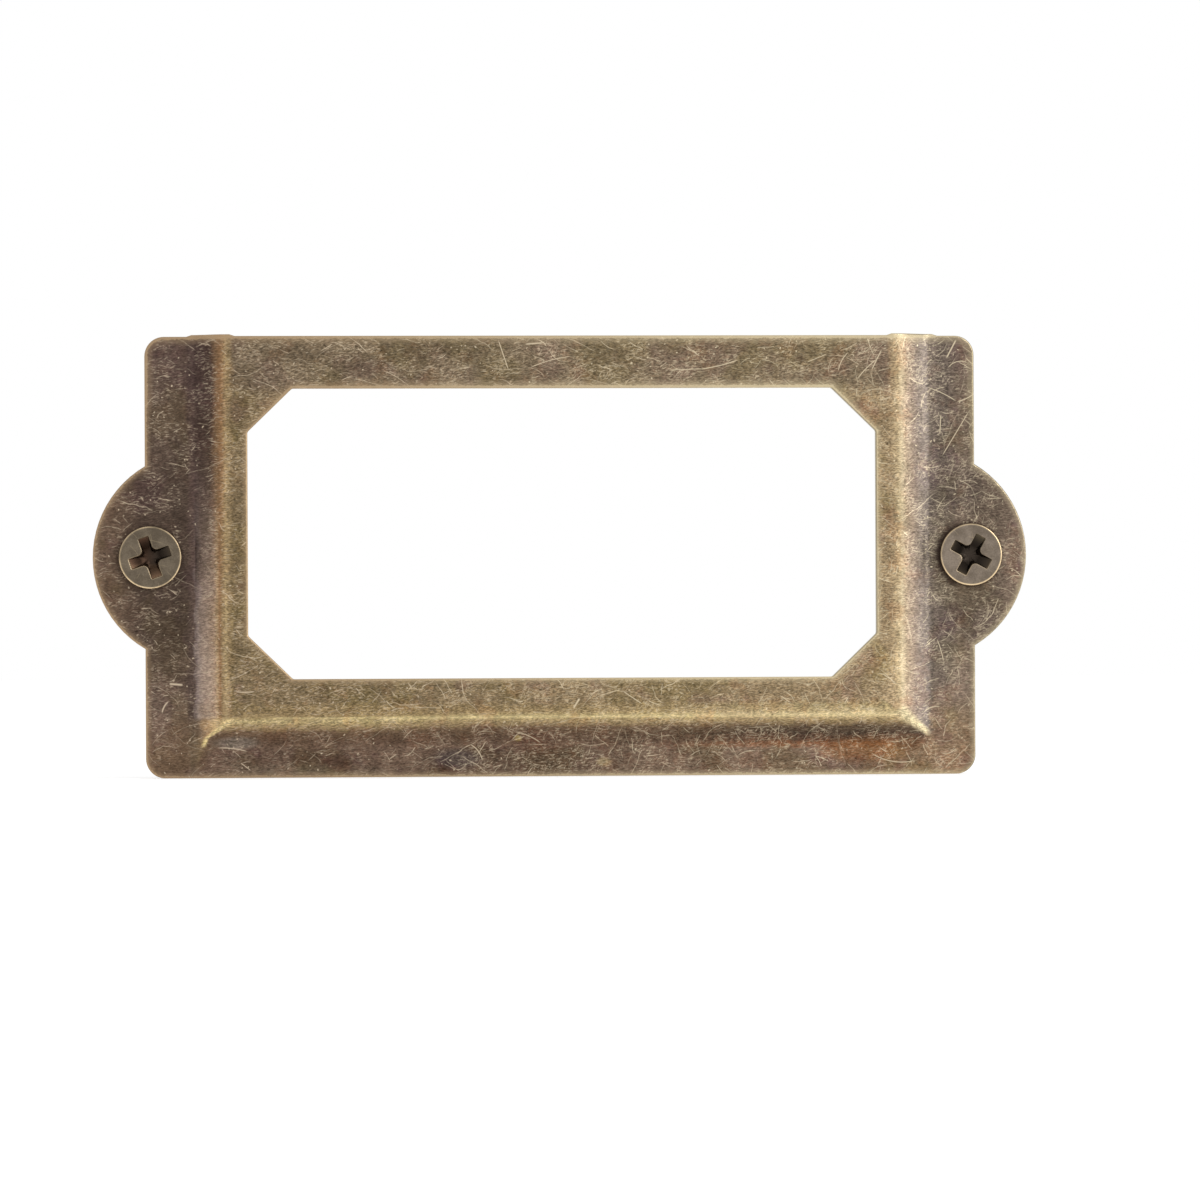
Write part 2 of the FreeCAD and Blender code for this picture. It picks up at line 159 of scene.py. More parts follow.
class Graph:
    """A short way to write shader nodes: each method adds its nodes and returns the last one's output."""

    def __init__(self, tree):
        self.tree = tree

    def node(self, kind, inputs=(), **settings):
        made = self.tree.nodes.new(kind)
        for name, value in settings.items():
            setattr(made, name, value)
        for key, value in dict(inputs).items():
            self.feed(made.inputs[key], value)
        return made

    def feed(self, socket, value):
        if isinstance(value, bpy.types.NodeSocket):
            self.tree.links.new(value, socket)
        else:
            socket.default_value = value

    def math(self, operation, *values, clamp=False):
        made = self.node("ShaderNodeMath", enumerate(values), operation=operation, use_clamp=clamp)
        return made.outputs[0]

    def times(self, first, *others):
        """The product of its values."""
        for value in others:
            first = self.math("MULTIPLY", first, value)
        return first

    def largest(self, first, *others):
        """The largest of its values."""
        for value in others:
            first = self.math("MAXIMUM", first, value)
        return first

    def raised(self, value, mask, share):
        """The value, raised by a share of itself where the mask is 1, or lowered by a negative share."""
        return self.times(value, self.math("MULTIPLY_ADD", mask, share, 1.0))

    def vector(self, operation, *values):
        made = self.node("ShaderNodeVectorMath", enumerate(values), operation=operation)
        return made.outputs["Value" if operation == "LENGTH" else "Vector"]

    def scaled(self, vector, factor):
        return self.node("ShaderNodeVectorMath", {0: vector, "Scale": factor}, operation="SCALE").outputs[0]

    def split(self, vector):
        return self.node("ShaderNodeSeparateXYZ", {0: vector}).outputs

    def join(self, x, y, z):
        return self.node("ShaderNodeCombineXYZ", {0: x, 1: y, 2: z}).outputs[0]

    def turned(self, vector, angle):
        made = self.node("ShaderNodeVectorRotate", {"Vector": vector, "Angle": angle}, rotation_type="Z_AXIS")
        return made.outputs[0]

    def step(self, value, low, high, to_low=0.0, to_high=1.0):
        """Eases from to_low to to_high as the value goes from low to high."""
        inputs = {"Value": value, "From Min": low, "From Max": high, "To Min": to_low, "To Max": to_high}
        return self.node("ShaderNodeMapRange", inputs, interpolation_type="SMOOTHSTEP").outputs["Result"]

    def left_right(self, x, left, right):
        """One value on the left half and another on the right."""
        return self.step(x, -MIDDLE, MIDDLE, left, right)

    def band(self, value, low, high, soft):
        """1 between low and high, easing to 0 over a soft margin outside them."""
        up = self.step(value, low - soft, low)
        down = self.step(value, high, high + soft, 1.0, 0.0)
        return self.times(up, down)

    def noise(self, vector, scale, detail, roughness):
        inputs = {"Vector": vector, "Scale": scale, "Detail": detail, "Roughness": roughness}
        return self.node("ShaderNodeTexNoise", inputs, noise_dimensions="2D").outputs[0]

    def mix(self, factor, first, second, blend="MIX"):
        made = self.node("ShaderNodeMix", data_type="RGBA", blend_type=blend)
        self.feed(made.inputs[0], factor)
        self.feed(made.inputs[6], first)
        self.feed(made.inputs[7], second)
        return made.outputs[2]

    def tinted(self, color, mask, tint):
        """The colour times a tint, where the mask is 1."""
        return self.mix(mask, color, tint, "MULTIPLY")

    def shaded(self, color, factor):
        """The colour made darker or paler by a plain factor."""
        return self.tinted(color, 1.0, self.join(factor, factor, factor))

    def ramp(self, value, *stops):
        """A colour that runs through stops, each a place along the value and the three display values."""
        first, last = stops[0][0], stops[-1][0]
        inputs = {"Value": value, "From Min": first, "From Max": last}
        share = self.node("ShaderNodeMapRange", inputs).outputs["Result"]
        made = self.node("ShaderNodeValToRGB", {"Fac": share})
        elements = made.color_ramp.elements
        elements[0].color = linear(*stops[0][1:])
        elements[1].color = linear(*stops[-1][1:])
        for place, *color in stops[1:-1]:
            elements.new((place - first) / (last - first)).color = linear(*color)
        return made.outputs[0]


def new_material(name):
    material = bpy.data.materials.new(name)
    material.use_nodes = True
    material.node_tree.nodes.clear()
    return material, Graph(material.node_tree)


# Studio

def make_camera():
    yaw = Matrix.Rotation(math.radians(CAMERA_YAW), 3, "Z")
    pitch = Matrix.Rotation(math.radians(CAMERA_PITCH), 3, "X")
    roll = Matrix.Rotation(math.radians(CAMERA_ROLL), 3, "Y")
    turn = yaw @ pitch @ roll @ Matrix.Rotation(math.radians(90), 3, "X")
    data = bpy.data.cameras.new("camera")
    data.sensor_width = SENSOR_WIDTH
    data.lens = FOCAL_PIXELS / PICTURE_PIXELS * SENSOR_WIDTH
    data.clip_start = CLIP_START
    camera = bpy.data.objects.new("camera", data)
    camera.matrix_world = Matrix.Translation(Vector(CAMERA_PLACE) * MM) @ turn.to_4x4()
    bpy.context.scene.collection.objects.link(camera)
    bpy.context.scene.camera = camera


def seen_directly(graph):
    """1 for what the camera sees, and for what it sees mirrored or through glass."""
    path = graph.node("ShaderNodeLightPath").outputs
    return graph.largest(path["Is Glossy Ray"], path["Is Transmission Ray"], path["Is Camera Ray"])


def make_world():
    world = bpy.data.worlds.new("studio")
    bpy.context.scene.world = world
    world.use_nodes = True
    world.node_tree.nodes.clear()
    graph = Graph(world.node_tree)
    strength = graph.step(seen_directly(graph), 0.0, 1.0, WORLD_FILL, 1.0)
    background = graph.node("ShaderNodeBackground", {"Color": WHITE, "Strength": strength})
    graph.node("ShaderNodeOutputWorld", {"Surface": background.outputs[0]})


def make_floor(height):
    """A pale floor: lit like any matt surface, with a little more for the eye so that it stays white."""
    square = ((-1, -1), (1, -1), (1, 1), (-1, 1))
    corners = [(across * FLOOR_REACH, along * FLOOR_REACH, height) for across, along in square]
    mesh = bpy.data.meshes.new("floor")
    mesh.from_pydata(corners, [], [(0, 1, 2, 3)])
    floor = bpy.data.objects.new("floor", mesh)
    bpy.context.scene.collection.objects.link(floor)
    material, graph = new_material("floor")
    matt = graph.node("ShaderNodeBsdfDiffuse", {"Color": FLOOR_COLOR})
    extra = graph.times(seen_directly(graph), FLOOR_GLOW)
    glow = graph.node("ShaderNodeEmission", {"Color": WHITE, "Strength": extra})
    both = graph.node("ShaderNodeAddShader", {0: matt.outputs[0], 1: glow.outputs[0]})
    graph.node("ShaderNodeOutputMaterial", {"Surface": both.outputs[0]})
    mesh.materials.append(material)


def add_softbox(name, place, size, radiance):
    """A square area light at a place in metres, turned to the object, with an even radiance."""
    data = bpy.data.lights.new(name, "AREA")
    data.shape = "SQUARE"
    data.size = size
    data.energy = radiance * math.pi * size * size
    lamp = bpy.data.objects.new(name, data)
    lamp.location = place
    lamp.rotation_euler = (-Vector(place)).to_track_quat("-Z", "Y").to_euler()
    bpy.context.scene.collection.objects.link(lamp)


def make_studio():
    bpy.context.scene.view_settings.view_transform = "Standard"
    make_world()
    make_floor(cad_box[0].z)
    for name, place, size, radiance in SOFTBOXES:
        add_softbox(name, place, size, radiance)


# Scratches

def new_group(name, inputs):
    """An empty node group with the given inputs and one output, a mask from 0 to 1."""
    group = bpy.data.node_groups.new(name, "ShaderNodeTree")
    for title, kind in inputs:
        group.interface.new_socket(title, in_out="INPUT", socket_type=f"NodeSocket{kind}")
    group.interface.new_socket("Mask", in_out="OUTPUT", socket_type="NodeSocketFloat")
    graph = Graph(group)
    return group, graph, graph.node("NodeGroupInput").outputs


def use_group(graph, group, settings):
    """One use of a node group with its inputs set by name: gives its mask."""
    made = graph.node("ShaderNodeGroup", node_tree=group)
    for name, value in settings.items():
        graph.feed(made.inputs[name], value)
    return made.outputs[0]


def scratch_group():
    """Short curved scratches, one in each cell of a scattered pattern on a plane."""
    group, graph, given = new_group("scratches", (
        ("Place", "Vector"), ("Density", "Float"), ("Length", "Float"), ("Width", "Float"),
        ("Curl", "Float"), ("Spread", "Float"), ("Share", "Float"),
    ))
    cells = graph.node(
        "ShaderNodeTexVoronoi",
        {"Vector": given["Place"], "Scale": given["Density"]},
        voronoi_dimensions="2D",
    ).outputs
    chance = graph.split(cells["Color"])
    local = graph.vector("SUBTRACT", given["Place"], cells["Position"])
    heading = graph.times(graph.math("SUBTRACT", chance[0], 0.5), given["Spread"])
    along, across, _ = graph.split(graph.turned(local, heading))
    curl = graph.times(graph.math("SUBTRACT", chance[1], 0.5), given["Curl"])
    sag = graph.times(along, along, curl)
    offset = graph.math("ABSOLUTE", graph.math("SUBTRACT", across, sag))
    line = graph.step(offset, 0.0, given["Width"], 1.0, 0.0)
    uneven = graph.math("FRACT", graph.times(chance[1], 7.3))
    length = graph.times(given["Length"], graph.math("MULTIPLY_ADD", uneven, 1.2, 0.45))
    reach = graph.math("DIVIDE", graph.math("ABSOLUTE", along), length)
    ends = graph.step(reach, 0.5, 1.0, 1.0, 0.0)
    left_out = graph.math("SUBTRACT", 1.0, given["Share"])
    kept = graph.math("DIVIDE", graph.math("SUBTRACT", chance[2], left_out), given["Share"], clamp=True)
    graph.node("NodeGroupOutput", {"Mask": graph.times(line, ends, graph.math("SQRT", kept))})
    return group


def hairline_group():
    """One long fine scratch from a start, at a heading, with a sag at its middle."""
    group, graph, given = new_group("hairline", (
        ("Place", "Vector"), ("Start", "Vector"), ("Heading", "Float"),
        ("Length", "Float"), ("Sag", "Float"), ("Width", "Float"),
    ))
    local = graph.vector("SUBTRACT", given["Place"], given["Start"])
    along, across, _ = graph.split(graph.turned(local, graph.times(given["Heading"], -1.0)))
    share = graph.math("DIVIDE", along, given["Length"])
    left = graph.math("SUBTRACT", 1.0, share)
    bow = graph.times(share, left, given["Sag"], 4.0)
    offset = graph.math("ABSOLUTE", graph.math("SUBTRACT", across, bow))
    line = graph.step(offset, 0.0, given["Width"], 1.0, 0.0)
    ends = graph.step(graph.math("MINIMUM", share, left), 0.0, 0.15)
    graph.node("NodeGroupOutput", {"Mask": graph.times(line, ends)})
    return group


class Scratches:
    """Lays layers of the scratch group over one plane, each layer shifted from the last."""

    def __init__(self, graph, group, plane):
        self.graph = graph
        self.group = group
        self.plane = plane
        self.count = 0

    def layer(self, density, length, width, curl, share, spread=math.tau):
        self.count += 1
        shift = (LAYER_SHIFT[0] * self.count, LAYER_SHIFT[1] * self.count, 0.0)
        return use_group(self.graph, self.group, {
            "Place": self.graph.vector("ADD", self.plane, shift),
            "Density": density, "Length": length, "Width": width,
            "Curl": curl, "Spread": spread, "Share": share,
        })

    def layers(self, count, **settings):
        total = self.layer(**settings)
        for _ in range(count - 1):
            total = self.graph.largest(total, self.layer(**settings))
        return total


# The scratches that stand out: from X, Z to X, Z, the sag at the middle and the width.
# The renderer has room for about this many in one material: with more of them the frame came out black.
HAIRLINES = (
    (29.8, 16.2, 29.0, 14.7, 0.0, 0.09),
    (27.5, 12.6, 29.8, 11.5, 0.1, 0.05),
    (29.8, 11.5, 31.1, 12.1, -0.1, 0.06),
    (29.1, 14.0, 30.7, 14.4, 0.3, 0.05),
    (30.8, 10.9, 28.6, 7.3, 0.0, 0.05),
    (28.6, 10.6, 28.5, 9.0, 0.0, 0.06),
    (24.0, 15.4, 23.2, 13.8, 0.0, 0.06),
    (28.2, -6.3, 28.7, -8.0, 0.05, 0.05),
    (27.1, -11.9, 28.5, -11.4, 0.2, 0.05),
    (23.1, -14.8, 26.7, -15.4, -0.4, 0.05),
    (-25.8, -14.2, -23.5, -14.5, 0.1, 0.06),
    (-24.1, -15.3, -23.3, -15.9, 0.0, 0.05),
    (-29.4, -9.4, -28.3, -9.5, 0.0, 0.13),
    (-24.5, -10.0, -23.0, -10.0, -0.05, 0.07),
    (-29.4, -10.7, -29.9, -11.6, -0.1, 0.09),
    (-4.8, 16.2, -4.0, 13.8, 0.0, 0.06),
    (-2.5, 14.0, 0.8, 14.9, 0.15, 0.05),
    (-2.8, 15.8, -1.4, 15.9, 0.0, 0.09),
    (-7.0, -14.0, -6.0, -15.3, 0.2, 0.06),
    (1.2, -10.6, 0.7, -11.4, 0.0, 0.11),
    (4.4, -10.1, 5.9, -11.1, 0.0, 0.05),
    (-3.7, -13.1, -1.6, -14.0, 0.15, 0.06),
    (7.9, 13.85, 10.6, 13.95, 0.0, 0.05),
    (10.2, 13.9, 13.3, 14.65, -0.1, 0.06),
    (18.3, 14.4, 19.9, 15.05, 0.0, 0.045),
    (20.7, 13.7, 21.5, 15.2, 0.15, 0.05),
    (22.1, 13.1, 23.7, 14.7, 0.1, 0.055),
)


def hairlines(graph, group, plane):
    total = 0.0
    for start_x, start_z, end_x, end_z, sag, width in HAIRLINES:
        line = use_group(graph, group, {
            "Place": plane, "Start": (start_x, start_z, 0.0),
            "Heading": math.atan2(end_z - start_z, end_x - start_x),
            "Length": math.hypot(end_x - start_x, end_z - start_z), "Sag": sag, "Width": width,
        })
        total = graph.largest(total, line)
    return total


# Antique brass

# stains: middle, half width and half height, strength, colour
STAINS = (
    # copper under the lower right hip
    ((22.7, -14.6), (3.6, 1.0), 0.65, (134, 90, 54)),
    ((26.0, -14.15), (1.1, 0.7), 0.75, (108, 80, 58)),
    # worn grey patch under the lower left hip, and a darker one below it
    ((-24.4, -13.85), (1.8, 0.5), 0.75, (138, 126, 113)),
    ((-24.2, -15.2), (1.5, 0.7), 0.45, (92, 78, 66)),
    # copper at the foot of the lower left hip
    ((-26.75, -12.45), (0.4, 0.45), 0.35, (188, 152, 110)),
    # dark and reddish patches along the foot
    ((-7.9, -15.1), (1.9, 0.8), 0.75, (78, 68, 65)),
    ((-1.9, -13.9), (2.1, 1.0), 0.4, (108, 76, 62)),
    ((4.8, -13.9), (1.5, 0.9), 0.35, (88, 74, 60)),
    # dark patches below and above the right screw
    ((30.9, -4.7), (2.5, 2.4), 0.7, (93, 80, 72)),
    ((30.1, 5.0), (1.8, 2.2), 0.7, (92, 80, 72)),
    # paler strip along the foot's edge on the left
    ((-19.5, -16.6), (8.0, 1.2), 0.6, (120, 106, 89)),
    # rubbed spots
    ((-3.35, -13.6), (0.3, 0.25), 0.8, (172, 152, 104)),
    ((3.1, -15.4), (0.6, 0.35), 0.5, (164, 146, 108)),
)


class Sheet:
    """What the parts of the frame's finish share: places in millimetres, patterns and distances."""

    def __init__(self, graph):
        self.graph = graph
        place = graph.scaled(graph.node("ShaderNodeTexCoord").outputs["Object"], 1 / MM)
        self.x, _, self.z = graph.split(place)
        self.aside, facing, _ = graph.split(graph.node("ShaderNodeNewGeometry").outputs["Normal"])
        self.front = graph.step(facing, 0.3, -0.3)

        # one plane for every flat pattern, with a part of its own for the back
        back_x = graph.math("ADD", self.x, BACK_PATTERN)
        self.plane = graph.join(graph.step(self.front, 0.0, 1.0, back_x, self.x), self.z, 0.0)
        self.clouds = graph.noise(self.plane, 0.16, 3.0, 0.6)
        self.blotch = graph.noise(self.plane, 0.55, 4.0, 0.65)
        self.grain = graph.noise(self.plane, 3.6, 3.0, 0.8)

    def measure_bends(self):
        """Distances from the bends' top lines, ragged only on the slopes, and the foot round at the hips."""
        graph = self.graph
        # the bends' own colours are for the front alone: to them the back lies far off to the right
        self.bend_x = graph.math("ADD", self.x, graph.step(self.front, 1.0, 0.0, 0.0, BACK_BENDS))
        from_left = graph.math("SUBTRACT", LEFT_TOP, self.bend_x)
        self.straight = graph.largest(from_left, graph.math("SUBTRACT", self.bend_x, RIGHT_TOP))
        self.low = graph.math("SUBTRACT", LOWER_TOP, self.z)
        bulge = graph.math("POWER", graph.largest(self.low, 0.0), 1.5)
        bulge = graph.times(bulge, graph.left_right(self.x, LEFT_BULGE, 0.0))
        self.side = graph.math("ADD", self.straight, bulge)
        down = graph.math("SMOOTH_MAX", self.side, self.low, HIP_BLEND)
        patches = graph.step(self.blotch, 0.3, 0.7, -0.14, 0.14)
        ragged = graph.math("ADD", patches, graph.step(self.grain, 0.3, 0.7, -0.08, 0.08))
        self.ragged = graph.times(ragged, graph.step(down, 0.1, 0.7, 0.15, 1.0))
        self.down = graph.math("ADD", down, self.ragged)

        # how far below the hips' lines a place lies, the left one curving down at its end
        start = graph.left_right(self.x, LEFT_HIP, RIGHT_HIP)
        line = graph.math("MULTIPLY_ADD", self.straight, HIP_SLOPE, start)
        dip = graph.largest(graph.math("SUBTRACT", self.low, 1.5), 0.0)
        dip = graph.times(dip, graph.left_right(self.x, 0.8, 0.0))
        self.gap = graph.math("SUBTRACT", graph.math("SUBTRACT", self.low, dip), line)
        self.lower_half = graph.step(self.z, 9.5, -9.0)


def cut_edge_distance(graph, x, z):
    """How far a place lies inside the nearest cut edge, of the outline or the window, in millimetres."""
    across = graph.math("ABSOLUTE", x)
    corner_x = graph.math("SUBTRACT", across, BODY_SIDE - CORNER_RADIUS)
    corner_z = graph.math("SUBTRACT", graph.math("ABSOLUTE", z), BODY_TOP - CORNER_RADIUS)
    past = graph.vector("MAXIMUM", graph.join(corner_x, corner_z, 0.0), (0.0, 0.0, 0.0))
    within = graph.math("MINIMUM", graph.largest(corner_x, corner_z), 0.0)
    outside = graph.math("ADD", graph.vector("LENGTH", past), within)
    body = graph.math("SUBTRACT", CORNER_RADIUS, outside)
    from_ear = graph.vector("LENGTH", graph.join(graph.math("SUBTRACT", across, EAR_CENTRE), z, 0.0))
    outline = graph.largest(body, graph.math("SUBTRACT", EAR_RADIUS, from_ear))
    middle = (WINDOW_TOP + WINDOW_FOOT) / 2
    side = graph.math("SUBTRACT", across, WINDOW_SIDE)
    from_middle = graph.math("ABSOLUTE", graph.math("SUBTRACT", z, middle))
    up = graph.math("SUBTRACT", from_middle, WINDOW_TOP - middle)
    slant = math.hypot(BEVEL_ACROSS, BEVEL_UP)
    bevel = graph.math("MULTIPLY_ADD", side, BEVEL_UP / slant, BEVEL_ACROSS * BEVEL_UP / slant)
    bevel = graph.math("MULTIPLY_ADD", up, BEVEL_ACROSS / slant, bevel)
    return graph.math("MINIMUM", outline, graph.largest(side, up, bevel))


def streaks(graph, plane, degrees, length, width):
    """Fine brushed lines at one heading: noise stretched along it."""
    turned = graph.turned(plane, math.radians(-degrees))
    stretched = graph.vector("MULTIPLY", turned, (1 / length, 1 / width, 0.0))
    return graph.noise(stretched, 1.0, 1.5, 0.6)


def flange_color(sheet, drift):
    """Patina of the flange: cool and dark on the left, warmer and paler to the right, the paling partly
    painted light from the right.
    """
    graph, x, z = sheet.graph, sheet.x, sheet.z
    flange = graph.mix(graph.step(drift, -26.0, 30.0), linear(80, 66, 57), linear(114, 98, 85))
    flange = graph.tinted(flange, graph.step(z, -10.5, -14.5), linear(255, 247, 240))
    along_foot = graph.times(
        graph.step(x, -28.0, -20.0, 1.4, 1.0),
        graph.step(x, -14.0, 0.0, 1.35, 1.08),
        graph.step(x, 4.0, 16.0, 1.0, 1.18),
    )
    tone = graph.step(z, -5.0, -13.5, 1.0, along_foot)
    beside_wall = graph.times(graph.band(x, -28.8, -27.5, 0.7), graph.band(z, -5.0, 8.0, 3.0))
    tone = graph.raised(tone, beside_wall, -0.18)
    tone = graph.times(tone, graph.step(x, -30.8, -34.0, 1.0, 1.7))
    tone = graph.raised(tone, graph.band(x, 31.0, 32.8, 0.9), -0.3)
    tone = graph.times(tone, graph.step(z, 4.0, 10.0, 1.0, graph.step(x, -26.0, -20.0, 1.34, 1.0)))
    flange = graph.shaded(flange, tone)
    flange = graph.tinted(flange, graph.step(x, -30.8, -33.5), linear(255, 252, 242))
    earthy = graph.times(graph.step(z, -10.0, -12.5), graph.step(x, 20.0, 26.0))
    flange = graph.tinted(flange, earthy, linear(255, 253, 238))
    bluish = graph.times(graph.band(x, 27.6, 28.8, 1.4), graph.step(z, -12.0, -8.0, 0.0, 0.65))
    return graph.mix(bluish, flange, linear(94, 85, 79))


def panel_color(sheet, drift):
    """Patina of the raised panel: olive, and greyer along the top, paler to the right partly as painted light
    from the right.
    """
    graph = sheet.graph
    panel = graph.mix(graph.step(drift, -26.0, 26.0), linear(118, 101, 75), linear(144, 124, 95))
    top_band = graph.mix(graph.step(drift, -24.0, 6.0), linear(108, 93, 74), linear(121, 105, 84))
    return graph.mix(graph.step(sheet.z, 11.5, 13.0), panel, top_band)


def side_colors(sheet, side):
    """Patina of the left and right bends, lighter where rubbed along the shoulders, with painted light on
    top: painted highlights along the shoulders, the right wall paler as if lit from the right, and on the
    left wall a painted reflection, dark on its upper half and paler low down. side is the distance outwards
    from the top line.
    """
    graph = sheet.graph
    left_high = graph.ramp(
        side, (-0.9, 128, 108, 79), (-0.67, 142, 122, 90), (-0.45, 156, 132, 97), (-0.2, 144, 113, 81),
        (0.0, 129, 99, 71), (0.22, 122, 96, 72), (0.45, 97, 75, 60), (0.67, 79, 63, 55), (1.12, 77, 61, 55),
        (1.8, 80, 64, 59), (2.1, 84, 68, 62),
    )
    left_low = graph.ramp(
        side, (-0.9, 128, 110, 78), (-0.67, 147, 125, 92), (-0.45, 168, 146, 108), (-0.15, 142, 119, 87),
        (0.0, 144, 111, 79), (0.22, 168, 142, 110), (0.45, 163, 138, 116), (0.9, 159, 138, 121),
        (1.34, 155, 135, 121), (1.6, 152, 135, 125), (1.8, 122, 106, 100), (1.95, 85, 70, 63),
    )
    right = graph.ramp(
        side, (-0.8, 162, 140, 108), (-0.26, 167, 148, 115), (0.0, 175, 159, 130), (0.34, 152, 134, 112),
        (0.63, 152, 134, 116), (0.78, 140, 123, 107), (1.08, 131, 116, 104), (1.5, 128, 116, 107),
        (1.83, 121, 110, 102), (2.08, 113, 103, 96), (2.2, 100, 90, 82), (2.57, 97, 87, 80),
    )
    # the left wall's painted reflection: dark on the upper half, paler on the lower half
    left = graph.mix(sheet.lower_half, left_high, left_low)
    return graph.mix(graph.left_right(sheet.x, 0.0, 1.0), left, right)


def low_colors(sheet, low):
    """Patina of the lower bend, rubbed along its shoulder, with a painted highlight there and painted shade
    on the wall that faces down: low is the distance downwards from its top line.
    """
    graph = sheet.graph
    low = graph.math("SUBTRACT", low, graph.step(sheet.x, -5.0, -17.0, 0.0, 0.28))
    left = graph.ramp(
        low, (-0.67, 138, 118, 85), (-0.37, 154, 133, 96), (-0.22, 166, 146, 105), (0.0, 189, 171, 126),
        (0.22, 170, 150, 109), (0.37, 163, 142, 105), (0.52, 156, 135, 101), (0.67, 138, 116, 88),
        (0.82, 119, 97, 77), (0.97, 110, 89, 71), (1.5, 105, 84, 69), (2.08, 117, 96, 81), (2.3, 108, 86, 73),
    )
    right = graph.ramp(
        low, (-0.67, 154, 137, 101), (-0.3, 179, 160, 120), (-0.07, 210, 191, 147), (0.15, 188, 167, 126),
        (0.37, 163, 142, 104), (0.6, 140, 119, 89), (0.82, 100, 83, 66), (1.3, 82, 67, 56),
        (1.9, 109, 82, 65), (2.35, 151, 102, 70), (2.8, 130, 90, 66), (3.3, 119, 88, 69),
    )
    return graph.mix(graph.step(sheet.x, 4.0, 18.0), left, right)


def hip_ridge(sheet):
    """The ridge where two walls meet, rubbed and with a painted highlight: wide at the shoulder, narrow at
    the foot.
    """
    graph, x, down = sheet.graph, sheet.x, sheet.down
    shoulder = graph.left_right(x, 0.42, 0.85)
    width = graph.step(down, 0.2, 2.2, shoulder, graph.left_right(x, 0.2, 0.46))
    share = graph.math("DIVIDE", graph.math("ABSOLUTE", sheet.gap), width)
    left = graph.times(graph.step(down, 0.0, 0.4), graph.step(sheet.low, 2.3, 1.9))
    left = graph.times(left, graph.left_right(x, 1.0, 0.0))
    ends = graph.largest(left, graph.band(down, 0.3, 2.0, 0.4))
    ends = graph.times(ends, graph.step(sheet.side, -1.3, -0.6))
    return graph.times(graph.step(share, 1.0, 0.1), ends)


def lay_bends(sheet, color, bend):
    """The bends' patina laid over the flats' colour, with their painted highlights and shade, a band partly
    rubbed and partly painted highlight at the foot of the left hip, and the rubbed ridges with their painted
    highlight.
    """
    graph, x, low, gap = sheet.graph, sheet.x, sheet.low, sheet.gap
    bends = graph.mix(
        graph.step(gap, -0.15, 0.15),
        side_colors(sheet, graph.math("ADD", sheet.side, sheet.ragged)),
        low_colors(sheet, graph.math("ADD", low, sheet.ragged)),
    )
    color = graph.mix(bend, color, bends)
    # painted highlight on rubbed brass: a golden band above the left hip, from the shoulder down to its foot
    above_hip = graph.times(graph.step(low, -0.2, 0.35), graph.step(gap, 0.15, -0.15))
    above_hip = graph.times(above_hip, graph.band(sheet.straight, -0.6, 2.0, 0.5))
    above_hip = graph.times(above_hip, graph.left_right(x, 0.9, 0.0))
    hip_foot = graph.ramp(
        sheet.straight, (-0.4, 198, 176, 130), (0.3, 188, 162, 119), (0.9, 166, 136, 102),
        (1.4, 126, 105, 85), (1.9, 102, 85, 71),
    )
    color = graph.mix(above_hip, color, hip_foot)
    # the hips' ridges: rubbed brass with a painted highlight
    ridge = graph.times(hip_ridge(sheet), graph.step(sheet.grain, 0.3, 0.55, 0.6, 1.0))
    rubbed_and_highlight = graph.mix(graph.left_right(x, 0.0, 1.0), linear(214, 193, 142), linear(210, 195, 156))
    color = graph.mix(ridge, color, rubbed_and_highlight)
    # painted highlight: a thin bright line along the lower bend's shoulder
    crest = graph.step(graph.math("ABSOLUTE", graph.math("SUBTRACT", low, 0.05)), 0.12, 0.03)
    crest = graph.times(crest, graph.band(sheet.bend_x, -21.0, 23.5, 1.5), 0.45)
    return graph.mix(crest, color, linear(222, 203, 152))


def right_end_tone(sheet):
    """The right end is paler towards its foot, with a lighter strip above and a darker patch half way."""
    graph, x, z = sheet.graph, sheet.x, sheet.z
    tone = graph.step(x, 23.0, 25.5, 1.0, graph.step(z, -9.0, 9.0, 1.14, 0.94))
    above = graph.times(graph.band(x, 27.4, 28.0, 0.6), graph.step(z, 3.0, 9.0))
    tone = graph.raised(tone, above, 0.3)
    half_way = graph.times(graph.band(x, 24.6, 26.0, 0.4), graph.band(z, -4.0, 4.0, 4.0))
    return graph.raised(tone, half_way, -0.12)


def lay_stains(sheet, color):
    """Elliptic stains with soft edges, on the front alone."""
    graph = sheet.graph
    for middle, size, strength, stain in STAINS:
        across = graph.math("MULTIPLY_ADD", sheet.bend_x, 1 / size[0], -middle[0] / size[0])
        up = graph.math("MULTIPLY_ADD", sheet.z, 1 / size[1], -middle[1] / size[1])
        from_middle = graph.vector("LENGTH", graph.join(across, up, 0.0))
        color = graph.mix(graph.step(from_middle, 1.25, 0.5, 0.0, strength), color, linear(*stain))
    return color


def lay_patches(sheet, color, bend):
    """Red, olive and violet patches; the last two are fainter on the bends."""
    graph, plane = sheet.graph, sheet.plane
    flats = graph.math("MULTIPLY_ADD", bend, -0.7, 1.0)
    redness = graph.step(sheet.x, -26.0, -20.0, 0.3, 0.8)
    red = graph.step(graph.noise(plane, 0.42, 3.0, 0.65), 0.54, 0.68, 0.0, redness)
    color = graph.tinted(color, red, linear(255, 242, 236))
    olive = graph.step(sheet.clouds, 0.5, 0.36, 0.0, 0.7)
    color = graph.tinted(color, graph.times(olive, flats), linear(250, 252, 232))
    violet_from = graph.step(sheet.z, 10.0, 13.0, 0.56, 0.44)
    violet = graph.step(graph.noise(plane, 0.3, 3.0, 0.6), violet_from, 0.68, 0.0, 0.8)
    return graph.tinted(color, graph.times(violet, flats), linear(240, 231, 244))


